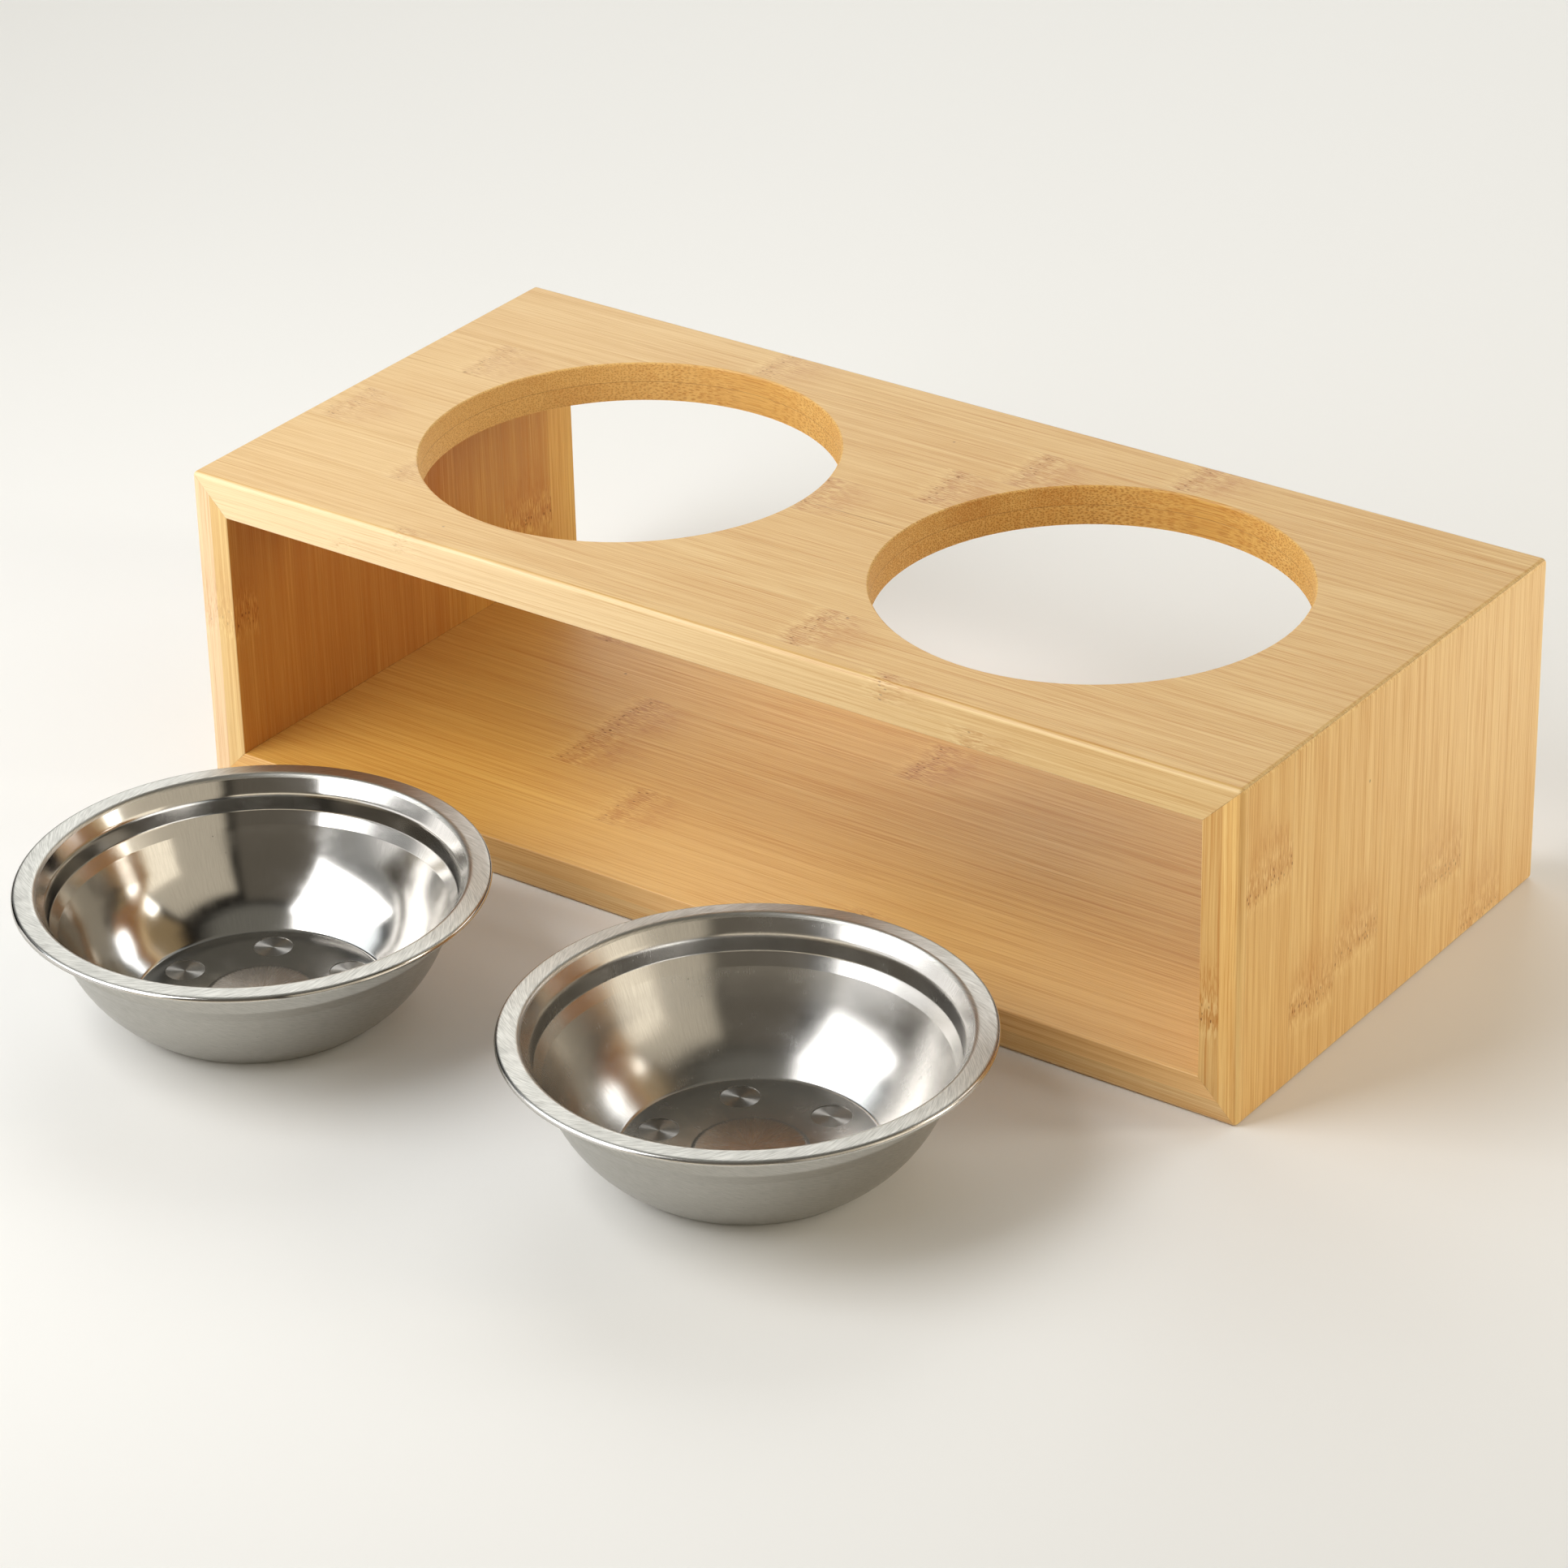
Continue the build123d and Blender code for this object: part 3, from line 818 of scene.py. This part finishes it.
def make_bowls():
    """Both bowls with their five finishes."""
    marks = scratch_group()
    rim = steel("bowl_brushed_rim_steel", marks, (4.5, 0.3, 0.6), (0.28, 0.44),
                (0.51, 0.50, 0.465), depth=3.0, wear=0.26)
    satin = steel("bowl_satin_steel", marks, (3.0, 0.35, 0.5), (0.30, 0.42),
                  (0.48, 0.467, 0.43), depth=2.0, wear=0.14)
    spot = steel("bowl_spun_spot_steel", marks, (9.0, 0.18, 0.0), (0.42, 0.52),
                 (0.42, 0.405, 0.38), anisotropy=0.9, tangent="around", spot=True)
    disc = steel("bowl_disc_steel", marks, (0.3, 6.0, 0.0), (0.20, 0.30), (0.52, 0.48, 0.44))
    for node, (turn, rough) in BOWLS.items():
        polished = steel(f"{node}_polished_steel", marks, (0.25, 9.0, 0.0), rough,
                         (0.54, 0.525, 0.50), anisotropy=0.35, tangent="outward", depth=0.4)
        spun_bowl(node, radians(turn), [polished, rim, satin, spot, disc])


# Studio --------------------------------------------------------------------------------------

# Softboxes: name, place, azimuth (0 in front, towards +X) and downward turn in degrees, width
# and height, power, colour
LIGHTS = [
    ("key_softbox", (-0.387, -0.540, 0.735), -30, 0, (0.64, 0.93), 10.0, (1.0, 1.0, 1.0)),
    ("back_softbox", (-0.80, 1.0, 0.90), -142, 15, (1.2, 1.0), 7.3, (1.0, 1.01, 1.0)),
    ("far_softbox", (0.6, 1.35, 0.75), 162, 35, (0.8, 0.6), 4.6, (1.0, 1.01, 1.02)),
    ("side_reflector", (1.3, 0.25, 0.45), 100, 0, (0.9, 0.6), 1.7, (1.0, 0.90, 0.73)),
    ("side_spot", (0.85, 0.42, 0.52), 124, 0, (0.17, 0.70), 2.0, (1.0, 0.95, 0.85)),
]

# The room's soft patches: azimuth, half width, low and high elevation in degrees, colour
ROOM = [
    (85, 29, 5, 52, (0.74, 0.66, 0.52)),
    (-80, 12, 33, 60, (1.84, 1.97, 2.04)),
    (-46, 46, 8, 27, (0.34, 0.34, 0.33)),
    (-150, 30, 12, 60, (0.37, 0.37, 0.35)),
    (165, 15, 20, 60, (0.41, 0.44, 0.44)),
    (140, 20, -8, 55, (0.38, 0.27, 0.14)),
    (25, 25, 12, 60, (0.16, 0.14, 0.11)),
    (-55, 35, -8, 12, (1.70, 1.67, 1.63)),
    (15, 35, -8, 12, (1.56, 1.39, 1.09)),
    (0, 180, 64, 95, (0.22, 0.21, 0.18)),
]
ROOM_EDGE = 3.0
BACKDROP = (0.86, 0.86, 0.83, 1)

# The camera, by its place and its own axes: to the right, down and ahead
CAMERA_PLACE = (0.7858573, -1.1112280, 0.7493179)
CAMERA_RIGHT = Vector((0.8138247, 0.5807142, -0.0214542))
CAMERA_DOWN = Vector((0.2606139, -0.3977301, -0.8797108))
CAMERA_AHEAD = Vector((-0.5193936, 0.7103391, -0.4750248))
FILM_WIDTH, LENS = 36.0, 123.842


def lay_floor():
    """A wide pale sweep of paper under everything."""
    bpy.ops.object.select_all(action="DESELECT")
    bpy.ops.mesh.primitive_plane_add(size=14.0, location=(0, 0, 0))
    floor = bpy.context.object
    floor.name = "paper_floor"
    material, tree, shader = new_material("floor_paper")
    place = add(tree, "ShaderNodeTexCoord").outputs["Object"]
    mottle = cloud(tree, place, 3.0, 0.5, 6.0)
    put(tree, shader.inputs["Base Color"],
        blend(tree, mottle, (0.86, 0.855, 0.835, 1), (0.85, 0.845, 0.825, 1)))
    shader.inputs["Roughness"].default_value = 0.55
    shader.inputs["Specular IOR Level"].default_value = 0.3
    floor.data.materials.append(material)


def soft_light(name, place, azimuth, drop, size, power, colour):
    """A softbox that stands at a place and shines from its azimuth, turned down by drop."""
    a, e = radians(azimuth), radians(drop)
    way = Vector((sin(a) * cos(e), -cos(a) * cos(e), sin(e)))
    lamp = bpy.data.lights.new(name, "AREA")
    lamp.shape = "RECTANGLE"
    lamp.size, lamp.size_y = size
    lamp.energy = power
    lamp.color = colour
    light = bpy.data.objects.new(name, lamp)
    scene.collection.objects.link(light)
    light.location = place
    light.rotation_euler = way.to_track_quat("Z", "Y").to_euler()
    light.visible_camera = False


def dress_world():
    """The room around the table, which the steel mirrors, behind a plain pale backdrop."""
    world = bpy.data.worlds.new("studio_room")
    scene.world = world
    world.use_nodes = True
    tree = world.node_tree
    back = tree.nodes["Background"]
    x, y, z = split(tree, add(tree, "ShaderNodeTexCoord").outputs["Generated"])
    height = sum_up(tree, "DEGREES", sum_up(tree, "ARCSINE", z))
    level = sum_up(tree, "SQRT", sum_up(tree, "ADD", sum_up(tree, "MULTIPLY", x, x),
                                        sum_up(tree, "MULTIPLY", y, y)))
    level = sum_up(tree, "MAXIMUM", level, 1e-4)
    total = None
    for azimuth, half, low, high, colour in ROOM:
        a = radians(azimuth)
        toward = sum_up(tree, "ADD", sum_up(tree, "MULTIPLY", x, sin(a)),
                        sum_up(tree, "MULTIPLY", y, -cos(a)))
        off = sum_up(tree, "ARCCOSINE", sum_up(tree, "DIVIDE", toward, level))
        off = sum_up(tree, "DEGREES", off)
        patch = 1.0
        if half < 180:
            patch = fade(tree, off, half - ROOM_EDGE, half + ROOM_EDGE, 1.0, 0.0)
        patch = sum_up(tree, "MULTIPLY", patch,
                       fade(tree, height, low - ROOM_EDGE, low + ROOM_EDGE))
        patch = sum_up(tree, "MULTIPLY", patch,
                       fade(tree, height, high - ROOM_EDGE, high + ROOM_EDGE, 1.0, 0.0))
        lit = blend(tree, patch, (0, 0, 0, 1), (*colour, 1))
        total = blend(tree, 1.0, total, lit, "ADD") if total else lit
    seen = add(tree, "ShaderNodeLightPath").outputs["Is Camera Ray"]
    put(tree, back.inputs["Color"], blend(tree, seen, total, BACKDROP))
    back.inputs["Strength"].default_value = 1.0


def set_camera():
    """The scene's camera."""
    data = bpy.data.cameras.new("camera")
    camera = bpy.data.objects.new("camera", data)
    scene.collection.objects.link(camera)
    turned = Matrix((CAMERA_RIGHT, -CAMERA_DOWN, -CAMERA_AHEAD)).transposed().to_4x4()
    camera.matrix_world = Matrix.Translation(CAMERA_PLACE) @ turned
    data.sensor_width, data.lens = FILM_WIDTH, LENS
    data.clip_start, data.clip_end = 0.05, 50.0
    scene.camera = camera


set_camera()
finish_boards()
make_bowls()
lay_floor()
for light in LIGHTS:
    soft_light(*light)
dress_world()
scene.view_settings.view_transform = "Standard"
scene.view_settings.look = "None"
